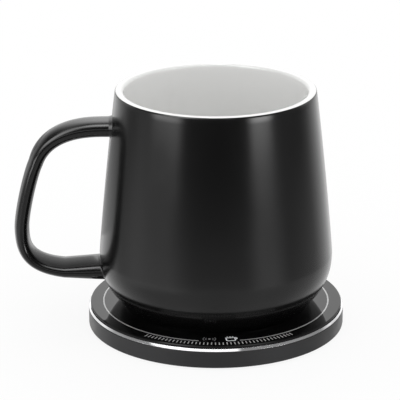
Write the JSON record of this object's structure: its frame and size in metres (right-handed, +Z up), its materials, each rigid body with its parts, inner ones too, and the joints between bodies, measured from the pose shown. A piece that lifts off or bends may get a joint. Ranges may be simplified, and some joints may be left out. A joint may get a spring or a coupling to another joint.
{
  "type": "mug warmer with its mug",
  "caption": "Thin round power pad with a glass top and a bevelled bright edge, and the self-heating mug with a D-shaped handle that stands on it and lifts off.",
  "frame": {"origin": "centre of the anti-slip pad's underside, on the table", "axes": "+Z up, -Y towards the marks on the glass, +Y towards the power socket, -X towards the mug's handle"},
  "size_m": [0.141, 0.11, 0.1045],
  "materials": {
    "satin_black_plastic": "satin black, fine moulded grain",
    "black_plastic": "matte black",
    "grey_plastic": "matte grey",
    "clear_plastic": "clear, frosted",
    "black_glass": "polished glass, printed black on its underside",
    "silver": "polished bright metal",
    "steel": "plated steel",
    "silicone": "matte silicone",
    "tape": "black foam tape",
    "board": "green solder mask on glass fibre",
    "ferrite": "sintered, dark grey",
    "copper": "enamelled copper wire",
    "mica": "insulating sheet",
    "felt": "white fibre felt",
    "capacitor": "brown chip ceramic",
    "lamp": "white lamp body",
    "glazed_ceramic": "satin black glaze outside, glossy white glaze on the lip and inside"
  },
  "bodies": {
    "warmer": {"anti_slip_pad": "silicone", "bottom_cover": "satin_black_plastic", "cover_screw_1": "steel", "cover_screw_2": "steel", "cover_screw_3": "steel", "cover_screw_4": "steel", "housing": "satin_black_plastic", "trim_ring": "silver", "glass_tape": "tape", "top_glass": "black_glass", "control_board": "board", "power_socket_shell": "steel", "power_socket_tongue": "black_plastic", "light_shield": "black_plastic", "standby_lamp": "lamp", "heating_lamp": "lamp", "standby_light_guide": "clear_plastic", "heating_light_guide": "clear_plastic", "controller_chip": "black_plastic", "input_chip": "black_plastic", "power_transistor_1": "black_plastic", "power_transistor_2": "black_plastic", "filter_inductor": "ferrite", "tuning_capacitor_1": "capacitor", "tuning_capacitor_2": "capacitor", "tuning_capacitor_3": "capacitor", "coil_tray": "grey_plastic", "ferrite_plate": "ferrite", "power_coil": "copper", "insulating_sheet": "mica", "temperature_sensor": "black_plastic"},
    "mug": {"mug_body": "glazed_ceramic", "base_cap": "black_plastic", "base_gasket": "silicone", "receiver_coil": "copper", "receiver_ferrite": "ferrite", "receiver_board": "board", "rectifier_chip": "black_plastic", "heat_insulation": "felt", "heating_film": "mica", "mug_sensor": "black_plastic"}
  },
  "joints": [
    {"name": "mug_lift", "type": "slide", "parent": "warmer", "child": "mug", "axis": [0, 0, 1], "range_m": [0, 0.12]}
  ]
}
